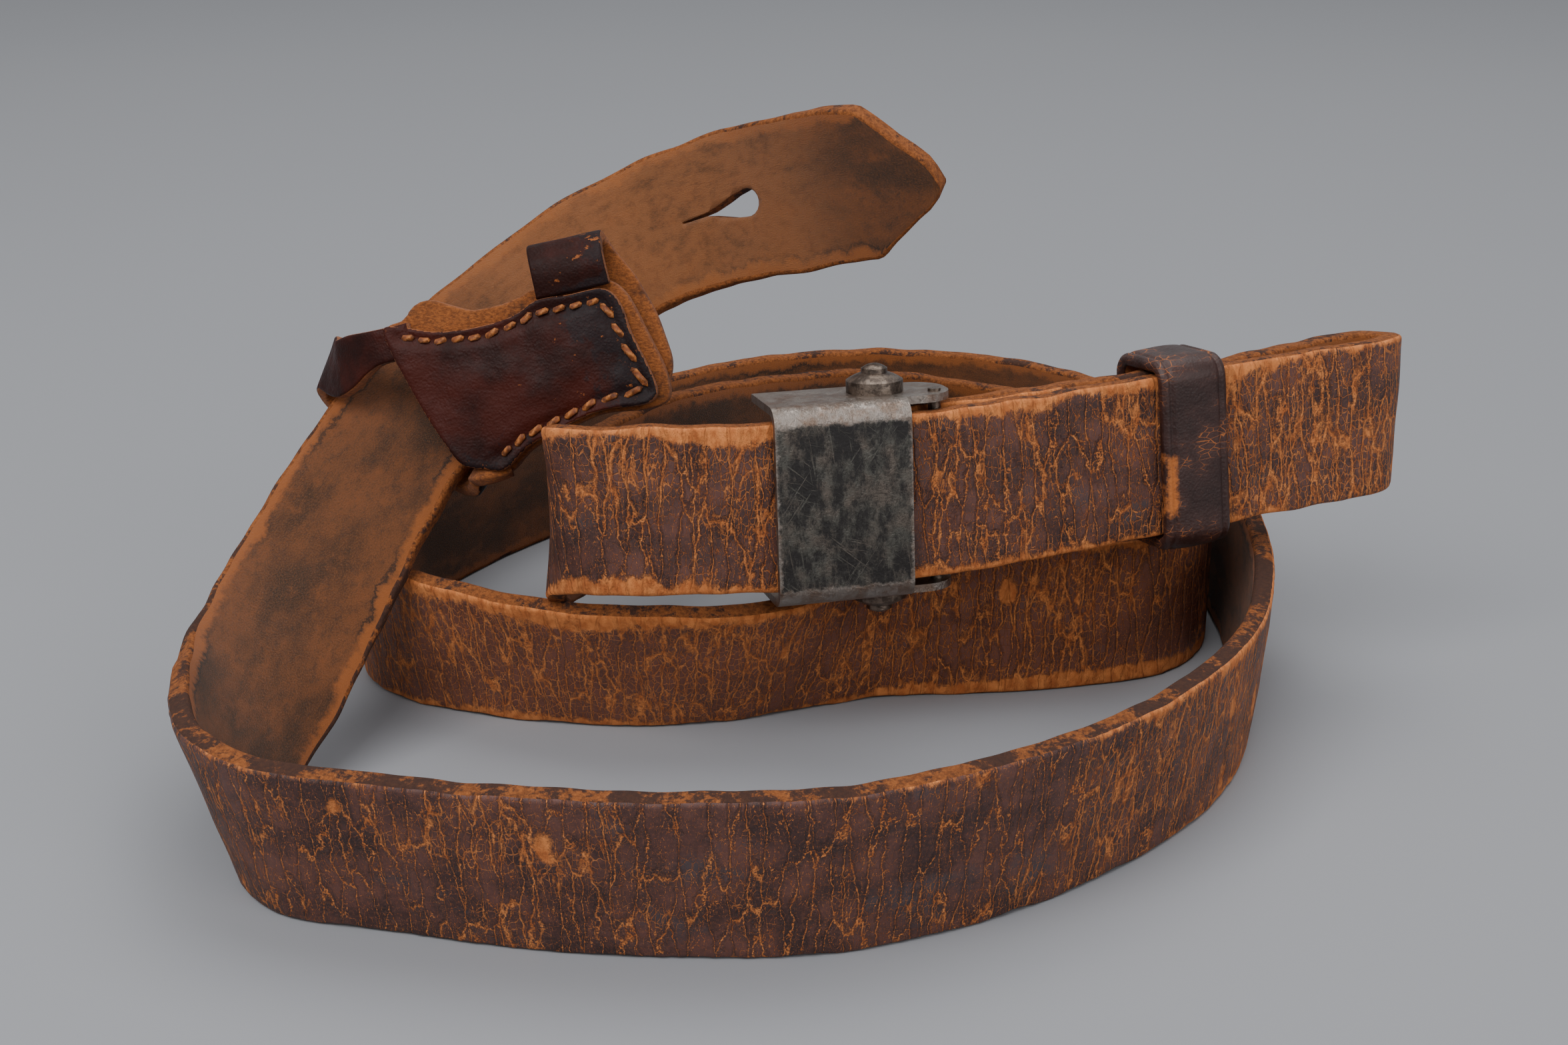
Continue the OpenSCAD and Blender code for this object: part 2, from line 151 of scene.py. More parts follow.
def strap_stops():
    def stop(p, lean, t=STRAP_T):
        return [*p, lean, t]

    stops = [[*s, STRAP_T] for s in TIP]
    stops += [on_floor(*s) for s in OUTER + INNER]
    stops += [[*s, 0, STRAP_T] for s in RISE] + [[-28, -12.4, 41.6, -6, STRAP_T]]
    stops += [stop([-15, -12.9, 42], LEAN)]
    stops += [stop(buckle_pt(u, 0), LEAN) for u in (-12, 0, 12)]
    stops += [stop(run_pt(u, 0), LEAN) for u in (0, 15, 30, 45, 56)]
    stops += [stop(run_pt(u, v), lean) for u, v, lean in FOLD]
    stops += [
        stop(run_pt(4, 5.9), 7, 0.7 * STRAP_T + 0.3 * SKIVED_T),
        stop(run_pt(-2, 6.9), 7, SKIVED_T),
        stop(buckle_pt(BAR_U, 8.1), 7, SKIVED_T),
    ]
    for k in range(11):
        a = math.radians(72 + 22 * k)
        p = buckle_pt(PIN_U + WRAP_R * math.cos(a), PIN_V + WRAP_R * math.sin(a))
        stops.append(stop(p, -LEAN * math.sin(a), SKIVED_T))
    stops.append(stop(buckle_pt(BAR_U - 0.5, 6), LEAN, SKIVED_T))
    stops += [stop(run_pt(u, v), LEAN, SKIVED_T) for u, v in ((-2, 4.9), (3, 3.2), (8, 3), (13.5, 3))]
    return np.array(stops)


def spline(stops, step, closed=False):
    """Centripetal spline through the stops, with a point about every step."""
    s = np.asarray(stops, float)
    if closed:
        s = np.vstack([s[-1], s, s[0], s[1]])
    else:
        s = np.vstack([2 * s[0] - s[1], s, 2 * s[-1] - s[-2]])
    out = []
    for i in range(1, len(s) - 2):
        p = s[i - 1 : i + 3]
        t = np.cumsum([0] + [math.sqrt(max(np.linalg.norm(p[k + 1][:3] - p[k][:3]), 0.01)) for k in range(3)])
        count = max(1, round(np.linalg.norm(p[2][:3] - p[1][:3]) / step))
        for k in range(count):
            f = t[1] + (t[2] - t[1]) * k / count
            a = [(p[j] * (t[j + 1] - f) + p[j + 1] * (f - t[j])) / (t[j + 1] - t[j]) for j in range(3)]
            b = [(a[j] * (t[j + 2] - f) + a[j + 1] * (f - t[j])) / (t[j + 2] - t[j]) for j in range(2)]
            out.append((b[0] * (t[2] - f) + b[1] * (f - t[1])) / (t[2] - t[1]))
    if not closed:
        out.append(s[-2])
    return np.array(out)


# ---------------------------------------------------------------- sweeping leather
GRAIN, EDGE, FLESH = 0, 1, 2


def leather_section(half_w, half_t, corner, across=14):
    """(across, out, material) round a strap's section: grain side with its corners, edge, flesh side, edge."""
    ring = []
    inner = half_w - corner

    def corner_arc(side, face, angles):
        for k in angles:
            a = math.radians(k)
            tag = GRAIN if face > 0 and k >= 30 else EDGE
            ring.append((side * (inner + corner * math.cos(a)), face * (half_t - corner + corner * math.sin(a)), tag))

    for k in range(across + 1):
        ring.append((-inner + 2 * inner * k / across, half_t, GRAIN))
    corner_arc(1, 1, (60, 30, 0))
    corner_arc(1, -1, (0, 30, 60))
    for k in range(across + 1):
        ring.append((inner - 2 * inner * k / across, -half_t, FLESH))
    corner_arc(-1, -1, (60, 30, 0))
    corner_arc(-1, 1, (0, 30, 60))
    return ring


def sweep(name, centre, width_dir, half_w, half_t, corner=0.6, across=14, closed=False, wobble=0.0, relief=None):
    """A leather band along centre. width_dir points to its upper edge; grain side is along heading x width_dir.
    half_w and half_t are numbers or one value per point. UV is (metres along, metres across)."""
    c = np.asarray(centre, float)
    n = len(c)
    half_w = np.broadcast_to(np.asarray(half_w, float), (n,))
    half_t = np.broadcast_to(np.asarray(half_t, float), (n,))
    if closed:
        heading = np.roll(c, -1, 0) - np.roll(c, 1, 0)
    else:
        heading = np.gradient(c, axis=0)
    heading /= np.linalg.norm(heading, axis=1)[:, None]
    w = np.broadcast_to(np.asarray(width_dir, float), (n, 3))
    w = w - heading * (w * heading).sum(1)[:, None]
    w /= np.linalg.norm(w, axis=1)[:, None]
    g = np.cross(heading, w)
    along = np.concatenate([[0], np.cumsum(np.linalg.norm(np.diff(c, axis=0), axis=1))])
    rows = []
    for i in range(n):
        r = min(corner, half_w[i] * 0.6, half_t[i] * 0.9)
        ring = leather_section(half_w[i], half_t[i], r, across)
        m = len(ring)
        for a, b, tag in ring:
            da = db = 0
            if wobble:
                da = wobble * noise.noise(Vector((along[i] * 0.16, 7.0 * (a > 0), 3.0))) * (abs(a) / half_w[i])
                db = 0.5 * wobble * noise.noise(Vector((along[i] * 0.1, a * 0.12, 9.0)))
                if tag == GRAIN:
                    db += 0.35 * wobble * noise.noise(Vector((along[i] * 0.9, a * 0.16, 1.0)))
            if relief is not None:
                db += relief(along[i], a, tag)
            rows.append(c[i] + w[i] * (a + da) + g[i] * (b + db))
    verts = placed(rows)
    faces, uvs, mats = [], [], []
    ring = leather_section(1, 1, 0.1, across)
    across_mm = [q[0] for q in leather_section(STRAP_W / 2, STRAP_T / 2, corner, across)]
    spans = n if closed else n - 1
    total = along[-1] + (np.linalg.norm(c[0] - c[-1]) if closed else 0)
    for i in range(spans):
        j = (i + 1) % n
        sj = total if closed and j == 0 else along[j]
        for k in range(m):
            l = (k + 1) % m
            faces.append((i * m + k, j * m + k, j * m + l, i * m + l))
            tags = (ring[k][2], ring[l][2])
            mats.append(EDGE if EDGE in tags else tags[0])
            f = half_w[i] / (STRAP_W / 2)
            uvs += [
                (along[i] * MM, across_mm[k] * f * MM), (sj * MM, across_mm[k] * f * MM),
                (sj * MM, across_mm[l] * f * MM), (along[i] * MM, across_mm[l] * f * MM),
            ]
    if not closed:
        for end, order in ((0, range(m)), (n - 1, range(m - 1, -1, -1))):
            faces.append(tuple(end * m + k for k in order))
            mats.append(EDGE)
            uvs += [(along[end] * MM, across_mm[k] * MM) for k in order]
    return make_mesh(name, verts, faces, mats, uvs)


def make_mesh(name, verts, faces, mats=None, uvs=None, smooth=True):
    mesh = bpy.data.meshes.new(name)
    mesh.from_pydata([tuple(v) for v in verts], [], faces)
    mesh.update()
    if mats is not None:
        mesh.polygons.foreach_set("material_index", np.array(mats, np.int32))
    if uvs is not None:
        layer = mesh.uv_layers.new(name="UVMap")
        layer.data.foreach_set("uv", np.array(uvs, np.float32).ravel())
    mesh.polygons.foreach_set("use_smooth", np.full(len(mesh.polygons), smooth))
    obj = bpy.data.objects.new(name, mesh)
    bpy.context.scene.collection.objects.link(obj)
    bm = bmesh.new()
    bm.from_mesh(mesh)
    bmesh.ops.recalc_face_normals(bm, faces=bm.faces)
    bm.to_mesh(mesh)
    bm.free()
    return obj


def give(obj, *materials):
    """Puts the materials in the object's slots and keeps each face's slot number."""
    slots = np.zeros(len(obj.data.polygons), np.int32)
    obj.data.polygons.foreach_get("material_index", slots)
    obj.data.materials.clear()
    for m in materials:
        obj.data.materials.append(m)
    obj.data.polygons.foreach_set("material_index", slots)


def apply_modifiers(obj):
    """Bakes the modifiers into the mesh."""
    bpy.context.view_layer.update()
    mesh = bpy.data.meshes.new_from_object(obj.evaluated_get(bpy.context.evaluated_depsgraph_get()))
    obj.modifiers.clear()
    old = obj.data
    obj.data = mesh
    mesh.name = obj.name
    bpy.data.meshes.remove(old)


# ---------------------------------------------------------------- node building
class Nodes:
    """A principled material with short calls for the nodes that feed it."""

    def __init__(self, name):
        self.mat = bpy.data.materials.new(name)
        self.mat.use_nodes = True
        self.tree = self.mat.node_tree
        self.shader = self.tree.nodes["Principled BSDF"]

    def node(self, kind, **props):
        n = self.tree.nodes.new(kind)
        for k, v in props.items():
            setattr(n, k, v)
        return n

    def feed(self, socket, value):
        if isinstance(value, bpy.types.NodeSocket):
            self.tree.links.new(value, socket)
        elif isinstance(value, (tuple, list)) and len(value) == 3 and socket.type == "RGBA":
            socket.default_value = (*value, 1)
        else:
            socket.default_value = value

    def maths(self, op, a, b=0.0, c=None, clamp=False):
        n = self.node("ShaderNodeMath", operation=op, use_clamp=clamp)
        self.feed(n.inputs[0], a)
        self.feed(n.inputs[1], b)
        if c is not None:
            self.feed(n.inputs[2], c)
        return n.outputs[0]

    def uv(self, scale, warp=None, amount=0.0):
        """UV in millimetres times scale, optionally pushed about by a noise colour."""
        n = self.node("ShaderNodeUVMap", uv_map="UVMap")
        return self.scaled(n.outputs[0], [1000 * s for s in scale], warp, amount)

    def place(self, scale=1000.0):
        """The object's own coordinates, in millimetres by default."""
        n = self.node("ShaderNodeTexCoord")
        return self.scaled(n.outputs["Object"], [scale] * 3)

    def own_axes(self, at, turned):
        """Millimetres along a part's own axes, from its place and turn."""
        v = self.node("ShaderNodeMapping", vector_type="TEXTURE")
        self.feed(v.inputs["Vector"], self.node("ShaderNodeTexCoord").outputs["Object"])
        v.inputs["Location"].default_value = tuple((at + SET_DOWN) * MM)
        v.inputs["Rotation"].default_value = Matrix(turned.tolist()).to_euler()
        return self.scaled(v.outputs[0], (1000, 1000, 1000))

    def scaled(self, vector, scale, warp=None, amount=0.0):
        m = self.node("ShaderNodeMapping")
        self.feed(m.inputs["Vector"], vector)
        m.inputs["Scale"].default_value = (*scale, 1)[:3]
        if warp is None:
            return m.outputs[0]
        a = self.node("ShaderNodeVectorMath", operation="MULTIPLY_ADD")
        self.feed(a.inputs[0], warp)
        a.inputs[1].default_value = (amount,) * 3
        self.feed(a.inputs[2], m.outputs[0])
        return a.outputs[0]

    def noise(self, vector, scale=1.0, detail=4.0, rough=0.6, colour=False):
        n = self.node("ShaderNodeTexNoise")
        self.feed(n.inputs["Vector"], vector)
        n.inputs["Scale"].default_value = scale
        n.inputs["Detail"].default_value = detail
        n.inputs["Roughness"].default_value = rough
        return n.outputs["Color" if colour else "Fac"]

    def cells(self, vector, scale=1.0, feature="DISTANCE_TO_EDGE", randomness=1.0):
        n = self.node("ShaderNodeTexVoronoi", feature=feature)
        self.feed(n.inputs["Vector"], vector)
        n.inputs["Scale"].default_value = scale
        n.inputs["Randomness"].default_value = randomness
        return n.outputs["Distance"]

    def step(self, value, low, high, out_low=0.0, out_high=1.0):
        n = self.node("ShaderNodeMapRange", interpolation_type="SMOOTHSTEP")
        self.feed(n.inputs["Value"], value)
        for k, v in zip(("From Min", "From Max", "To Min", "To Max"), (low, high, out_low, out_high)):
            self.feed(n.inputs[k], v)
        return n.outputs[0]

    def mix(self, fac, a, b):
        """Colour mix. Sockets 6, 7 and 2 are the node's colour pair and colour result."""
        n = self.node("ShaderNodeMix", data_type="RGBA")
        self.feed(n.inputs["Factor"], fac)
        self.feed(n.inputs[6], a)
        self.feed(n.inputs[7], b)
        return n.outputs[2]

    def span(self, low, high, blend=0.02):
        """1 between two lengths along the strap in metres, 0 elsewhere."""
        s = self.node("ShaderNodeSeparateXYZ")
        self.feed(s.inputs[0], self.node("ShaderNodeUVMap", uv_map="UVMap").outputs[0])
        after = self.step(s.outputs[0], low - blend, low)
        before = self.step(s.outputs[0], high + blend, high)
        return self.maths("MULTIPLY", after, before)

    def across(self):
        """How far from the middle to the edge a point is, 0 to 1, from the UV."""
        n = self.node("ShaderNodeUVMap", uv_map="UVMap")
        s = self.node("ShaderNodeSeparateXYZ")
        self.feed(s.inputs[0], n.outputs[0])
        return self.maths("ABSOLUTE", self.maths("MULTIPLY", s.outputs[1], 2000 / STRAP_W))

    def bump(self, height, distance, strength=1.0, normal=None):
        n = self.node("ShaderNodeBump")
        n.inputs["Strength"].default_value = strength
        n.inputs["Distance"].default_value = distance
        self.feed(n.inputs["Height"], height)
        if normal is not None:
            self.feed(n.inputs["Normal"], normal)
        return n.outputs[0]

    def finish(self, colour, rough, normal=None, metallic=0.0, specular=0.5, **fixed):
        self.feed(self.shader.inputs["Base Color"], colour)
        self.feed(self.shader.inputs["Roughness"], rough)
        self.feed(self.shader.inputs["Metallic"], metallic)
        self.shader.inputs["Specular IOR Level"].default_value = specular
        if normal is not None:
            self.feed(self.shader.inputs["Normal"], normal)
        for k, v in fixed.items():
            self.shader.inputs[k.replace("_", " ")].default_value = v
        return self.mat


def srgb(code):
    """Linear colour of a hex code."""
    out = []
    for k in (0, 2, 4):
        v = int(code[k : k + 2], 16) / 255
        out.append(v / 12.92 if v <= 0.04045 else ((v + 0.055) / 1.055) ** 2.4)
    return tuple(out)


# ---------------------------------------------------------------- materials
def grain_leather():
    """Dark, crazed grain side: cracks across the strap, rubbed patches and rims show the tan leather below."""
    m = Nodes("strap_grain")
    warp = m.noise(m.uv((0.16, 0.1)), 1, 3, 0.55, colour=True)
    jitter = m.noise(m.uv((0.9, 0.5)), 1, 3, 0.6, colour=True)
    zone = m.noise(m.uv((0.035, 0.05)), 1, 3, 0.55)
    local = m.noise(m.uv((0.16, 0.12)), 1, 4, 0.65)
    fine = m.noise(m.uv((2.6, 1.9)), 1, 5, 0.7)
    grit = m.noise(m.uv((7, 7)), 1, 3, 0.7)
    frayed = m.noise(m.uv((3.4, 3)), 1, 4, 0.75)

    # Rubbed on the middle loop, the right fold and the front's right turn; burnished along the front.
    rubbed = m.maths("ADD", m.span(0.7, 0.84), m.maths("ADD", m.span(1.15, 1.19), m.span(0.33, 0.38)), clamp=True)
    calm = m.span(0.14, 0.33, 0.03)

    def crazing(spacing, warp_by, jitter_by, width, spread):
        """Ragged lines between long cells, wider where the leather is opened up."""
        v = m.scaled(m.uv(spacing, warp, warp_by), (1, 1, 1), jitter, jitter_by)
        ragged = m.maths("MULTIPLY", m.maths("SUBTRACT", frayed, 0.5), 0.17)
        gap = m.maths("ADD", m.cells(v, 1.0, randomness=0.9), ragged)
        return m.step(gap, m.maths("MULTIPLY_ADD", open_up, spread, width), 0.0), gap

    open_up = m.maths("ADD", m.maths("MULTIPLY", zone, 0.5), m.maths("MULTIPLY", local, 0.5))
    open_up = m.maths("MULTIPLY_ADD", rubbed, 0.07, m.maths("MULTIPLY_ADD", calm, -0.045, open_up))
    open_up = m.step(open_up, 0.4, 0.62)
    cracks, crack_gap = crazing((0.4, 0.06), 1.0, 0.3, 0.025, 0.075)
    hairs, _ = crazing((0.8, 0.13), 1.2, 0.4, 0.0, 0.07)
    net, _ = crazing((1.2, 0.7), 0.5, 0.6, 0.01, 0.09)
    # Rubbed patches with ragged borders, longer across the strap.
    streaks = m.noise(m.uv((0.8, 0.15), warp, 0.7), 1, 6, 0.72)
    patch = m.maths("ADD", m.maths("MULTIPLY", zone, 0.55), m.maths("MULTIPLY", streaks, 0.85))
    patch = m.maths("MULTIPLY_ADD", rubbed, 0.06, m.maths("MULTIPLY_ADD", fine, 0.35, patch))
    patch_mask = m.step(patch, 1.02, 1.12)
    spots = m.noise(m.uv((0.34, 0.2), warp, 0.6), 1, 6, 0.75)
    spot_mask = m.step(m.maths("MULTIPLY_ADD", fine, 0.35, spots), 0.88, 0.95)
    chips = m.cells(m.uv((0.075, 0.04), warp, 0.5), feature="F1")
    chips = m.maths("ADD", chips, m.maths("MULTIPLY", m.maths("SUBTRACT", frayed, 0.5), 0.1))
    spot_mask = m.maths("MAXIMUM", spot_mask, m.step(chips, 0.14, 0.1))
    # Worn rims, wider in places and almost gone along the burnished front of the coil.
    rim = m.maths("MULTIPLY_ADD", m.noise(m.uv((0.3, 0.12)), 1, 6, 0.75), -0.5, m.across())
    rim = m.maths("MULTIPLY_ADD", m.noise(m.uv((0.025, 0.03)), 1, 2, 0.5), 0.7, rim)
    rim = m.maths("MULTIPLY_ADD", calm, -0.17, rim)
    rim_mask = m.step(m.maths("MULTIPLY_ADD", fine, 0.12, rim), 1.0, 1.07)
    worn = m.maths("MAXIMUM", cracks, m.maths("MULTIPLY", hairs, 0.85))
    worn = m.maths("MAXIMUM", worn, m.maths("MULTIPLY", net, 0.7))
    worn = m.maths("MAXIMUM", worn, m.maths("MAXIMUM", rim_mask, m.maths("MAXIMUM", patch_mask, spot_mask)))
    worn = m.maths("MULTIPLY", worn, m.step(grit, 0.25, 0.5, 0.6, 1.0), clamp=True)
    tone = m.noise(m.uv((0.1, 0.13)), 1, 5, 0.65)
    dark = m.mix(m.step(tone, 0.38, 0.64), srgb("35211f"), srgb("5b3932"))
    dark = m.mix(m.step(m.noise(m.uv((0.07, 0.1)), 1, 4, 0.65), 0.54, 0.7), dark, srgb("41373a"))
    dark = m.mix(m.step(fine, 0.48, 0.72, 0.0, 0.5), dark, srgb("835037"))
    dark = m.mix(m.step(grit, 0.55, 0.75, 0.0, 0.35), dark, srgb("9a6244"))
    tan = m.mix(m.step(m.noise(m.uv((0.6, 0.4)), 1, 5, 0.65), 0.3, 0.7), srgb("b0602d"), srgb("dd8a4c"))
    tan = m.mix(m.step(grit, 0.5, 0.8, 0.0, 0.6), tan, srgb("8d4d28"))
    # Painted light: the middle loop's dark tone is lifted towards 8a5039, standing in for the light that the buckle
    # section shades off it.
    dark = m.mix(m.maths("MULTIPLY", m.span(0.7, 0.84), 0.35), dark, srgb("8a5039"))
    colour = m.mix(worn, dark, tan)
    height = m.maths("MULTIPLY_ADD", worn, -0.7, m.maths("MULTIPLY", grit, 0.25))
    height = m.maths("MULTIPLY_ADD", m.step(crack_gap, 0, 0.14), 0.8, height)
    return m.finish(colour, m.step(worn, 0, 1, 0.5, 0.88), m.bump(height, 0.0003, 1.0), specular=0.4)


def flesh_leather():
    """Brown suede of the flesh side, with dark rubbed patches and a tan rim."""
    m = Nodes("strap_flesh")
    cloud = m.noise(m.uv((0.045, 0.08)), 1, 5, 0.65)
    mottle = m.noise(m.uv((0.4, 0.55)), 1, 6, 0.72)
    nap = m.noise(m.uv((3.0, 4.5)), 1, 5, 0.75)
    fine = m.noise(m.uv((1.1, 1.3)), 1, 5, 0.75)
    colour = m.mix(m.step(cloud, 0.38, 0.6), srgb("3f2919"), srgb("704223"))
    colour = m.mix(m.step(m.noise(m.uv((0.11, 0.16)), 1, 5, 0.7), 0.5, 0.68, 0.0, 0.7), colour, srgb("804a25"))
    colour = m.mix(m.step(mottle, 0.46, 0.72, 0.0, 0.7), colour, srgb("38291f"))
    colour = m.mix(m.step(nap, 0.42, 0.75, 0.0, 0.6), colour, srgb("8c5630"))
    colour = m.mix(m.step(nap, 0.5, 0.3, 0.0, 0.45), colour, srgb("2f2119"))
    edge = m.maths("MULTIPLY_ADD", m.noise(m.uv((0.2, 0.12)), 1, 5, 0.72), -0.45, m.across())
    edge = m.maths("MULTIPLY_ADD", fine, 0.14, edge)
    colour = m.mix(m.step(edge, 0.63, 0.74, 0.0, 0.85), colour, srgb("9d5a2b"))
    line = m.maths("MULTIPLY", m.step(edge, 0.6, 0.635), m.step(edge, 0.67, 0.64))
    line = m.maths("MULTIPLY", line, m.step(m.noise(m.uv((0.03, 0.05)), 1, 2, 0.5), 0.46, 0.6, 0.0, 0.8))
    colour = m.mix(line, colour, srgb("2b2019"))
    pale = m.maths("MULTIPLY", m.span(0.03, 0.08, 0.02), m.step(mottle, 0.3, 0.6, 0.2, 0.65))
    colour = m.mix(pale, colour, srgb("9a6138"))
    height = m.maths("MULTIPLY_ADD", mottle, 0.5, nap)
    rough = m.step(nap, 0.2, 0.8, 0.85, 1.0)
    return m.finish(colour, rough, m.bump(height, 0.00035, 1.0), specular=0.2, Sheen_Weight=0.12)


def edge_leather():
    """Cut edge: brown fibres, burnished dark in places by old dye."""
    m = Nodes("strap_edge")
    fibres = m.noise(m.scaled(m.place(), (1.5, 1.5, 1.5)), 1, 6, 0.75)
    blotch = m.noise(m.place(), 0.11, 5, 0.7)
    place = m.noise(m.place(), 1.2, 5, 0.75)
    colour = m.mix(m.step(fibres, 0.3, 0.7), srgb("7a4424"), srgb("b26a37"))
    colour = m.mix(m.step(place, 0.42, 0.68, 0.0, 0.65), colour, srgb("4f2f1d"))
    # The front of the coil is burnished dark by handling.
    dye = m.maths("ADD", blotch, m.maths("MULTIPLY", place, 0.35))
    dye = m.maths("MULTIPLY_ADD", m.span(0.14, 0.4, 0.04), 0.1, dye)
    colour = m.mix(m.step(dye, 0.7, 0.78, 0.0, 0.85), colour, srgb("352826"))
    height = m.maths("ADD", fibres, m.maths("MULTIPLY", place, 1.5))
    return m.finish(colour, 0.86, m.bump(height, 0.0004, 1.0), specular=0.25)


def frog_leather():
    """Oxblood leather, blue-black at its upper right corner and lower edge, scuffed to tan in places."""
    m = Nodes("frog_grain")
    p = m.place()
    own = m.own_axes(FROG_AT, FROG_R)
    s = m.node("ShaderNodeSeparateXYZ")
    m.feed(s.inputs[0], own)
    cloud = m.noise(p, 0.08, 4, 0.6)
    fine = m.noise(p, 2.2, 5, 0.7)
    pores = m.cells(p, 2.4, "F1")
    blotch = m.noise(p, 0.16, 5, 0.7)
    colour = m.mix(m.step(cloud, 0.38, 0.62), srgb("230b07"), srgb("3c140c"))
    # Dark handling marks towards the right end and the lower edge.
    right = m.maths("MULTIPLY_ADD", s.outputs[0], 0.035, m.maths("MULTIPLY", s.outputs[1], 0.015))
    low = m.maths("MULTIPLY_ADD", s.outputs[0], -0.015, m.maths("MULTIPLY", s.outputs[1], -0.05))
    handled = m.maths("ADD", m.maths("MAXIMUM", right, low), blotch)
    # The small loop above the face stays red-brown, worn through along its top.
    above = m.step(s.outputs[1], 11.5, 13.5)
    handled = m.maths("MULTIPLY_ADD", above, -0.35, handled)
    colour = m.mix(m.step(handled, 0.98, 1.12, 0.0, 0.85), colour, srgb("1b1416"))
    colour = m.mix(m.step(fine, 0.5, 0.8, 0.0, 0.3), colour, srgb("4c2015"))
    scuff = m.noise(m.scaled(p, (0.5, 1.1, 0.6)), 0.7, 6, 0.74)
    scuff = m.maths("ADD", scuff, m.step(handled, 0.9, 1.2, 0.0, 0.06))
    scuff = m.maths("MULTIPLY_ADD", above, 0.045, scuff)
    colour = m.mix(m.step(scuff, 0.665, 0.71, 0.0, 0.85), colour, srgb("99562a"))
    rough = m.step(m.maths("ADD", scuff, m.maths("MULTIPLY", fine, 0.25)), 0.5, 0.85, 0.42, 0.66)
    height = m.maths("ADD", m.maths("MULTIPLY", pores, 0.5), m.maths("MULTIPLY", fine, 0.7))
    normal = m.bump(m.noise(p, 0.28, 3, 0.5), 0.0007, 0.5, m.bump(height, 0.00014, 0.8))
    return m.finish(colour, rough, normal, specular=0.14, Coat_Weight=0.02, Coat_Roughness=0.3)


def keeper_leather():
    """Polished dark brown leather with fine tan cracks and one long rubbed patch on its left rim."""
    m = Nodes("keeper_grain")
    p = m.own_axes(run_pt(KEEPER_U, 0), RUN_R)
    s = m.node("ShaderNodeSeparateXYZ")
    m.feed(s.inputs[0], p)
    cloud = m.noise(p, 0.14, 4, 0.6)
    fine = m.noise(p, 1.8, 6, 0.7)
    colour = m.mix(m.step(cloud, 0.35, 0.65), srgb("27130f"), srgb("3d2520"))
    colour = m.mix(m.step(fine, 0.52, 0.78, 0.0, 0.5), colour, srgb("4d2f27"))
    crackle = m.cells(m.scaled(p, (0.5, 0.5, 1.3)), 0.9)
    shown = m.maths("MULTIPLY", m.step(crackle, 0.04, 0.01), m.step(cloud, 0.5, 0.62, 0.0, 0.7))
    # The rubbed patch, in the keeper's own millimetres: along the left rim of its front.
    left = m.maths("SUBTRACT", m.maths("ABSOLUTE", m.maths("ADD", s.outputs[0], 4.7)), 0.7)
    tall = m.maths("SUBTRACT", m.maths("ABSOLUTE", m.maths("ADD", s.outputs[2], 4.5)), 4.6)
    patch = m.maths("MULTIPLY_ADD", m.noise(p, 0.5, 6, 0.75), 3.2, m.maths("MAXIMUM", left, tall))
    patch = m.maths("MULTIPLY", m.step(patch, 2.2, 1.2), m.step(s.outputs[1], -1.2, -2.4, 0.0, 0.9))
    shown = m.maths("MAXIMUM", shown, patch)
    colour = m.mix(shown, colour, srgb("b5682f"))
    height = m.maths("ADD", m.maths("MULTIPLY", m.cells(p, 2.2, "F1"), 0.4), m.maths("MULTIPLY", fine, 0.8))
    rough = m.maths("MULTIPLY_ADD", shown, 0.4, m.step(fine, 0.3, 0.8, 0.34, 0.55), clamp=True)
    return m.finish(colour, rough, m.bump(height, 0.00016, 0.8), specular=0.35, Coat_Weight=0.08, Coat_Roughness=0.25)


def suede():
    """Tan fibrous leather of the frog's cut rims and inner faces."""
    m = Nodes("frog_suede")
    p = m.place()
    fibres = m.noise(m.scaled(p, (1.3, 1.3, 2.6)), 1.2, 6, 0.75)
    cloud = m.noise(p, 0.22, 5, 0.7)
    colour = m.mix(m.step(fibres, 0.32, 0.7), srgb("6b3a1d"), srgb("ab642f"))
    colour = m.mix(m.step(cloud, 0.52, 0.68, 0.0, 0.85), colour, srgb("43291c"))
    return m.finish(colour, 0.93, m.bump(fibres, 0.0004, 1.0), specular=0.2, Sheen_Weight=0.1)


def waxed_thread():
    """Two-ply waxed thread, tan, darker down in the grooves between the plies, with dark dirt in blotches."""
    m = Nodes("thread")
    n = m.node("ShaderNodeUVMap", uv_map="UVMap")
    wave = m.node("ShaderNodeTexWave", wave_type="BANDS", bands_direction="DIAGONAL")
    m.feed(wave.inputs["Vector"], m.scaled(n.outputs[0], (1000, 1000, 1)))
    wave.inputs["Scale"].default_value = 0.3
    wave.inputs["Distortion"].default_value = 1.2
    dirt = m.noise(m.place(), 1.1, 5, 0.75)
    colour = m.mix(wave.outputs["Fac"], srgb("7c4220"), srgb("aa6732"))
    colour = m.mix(m.step(dirt, 0.42, 0.62, 0.0, 0.85), colour, srgb("4b2717"))
    return m.finish(colour, 0.65, m.bump(wave.outputs["Fac"], 0.0002, 0.8), specular=0.35)


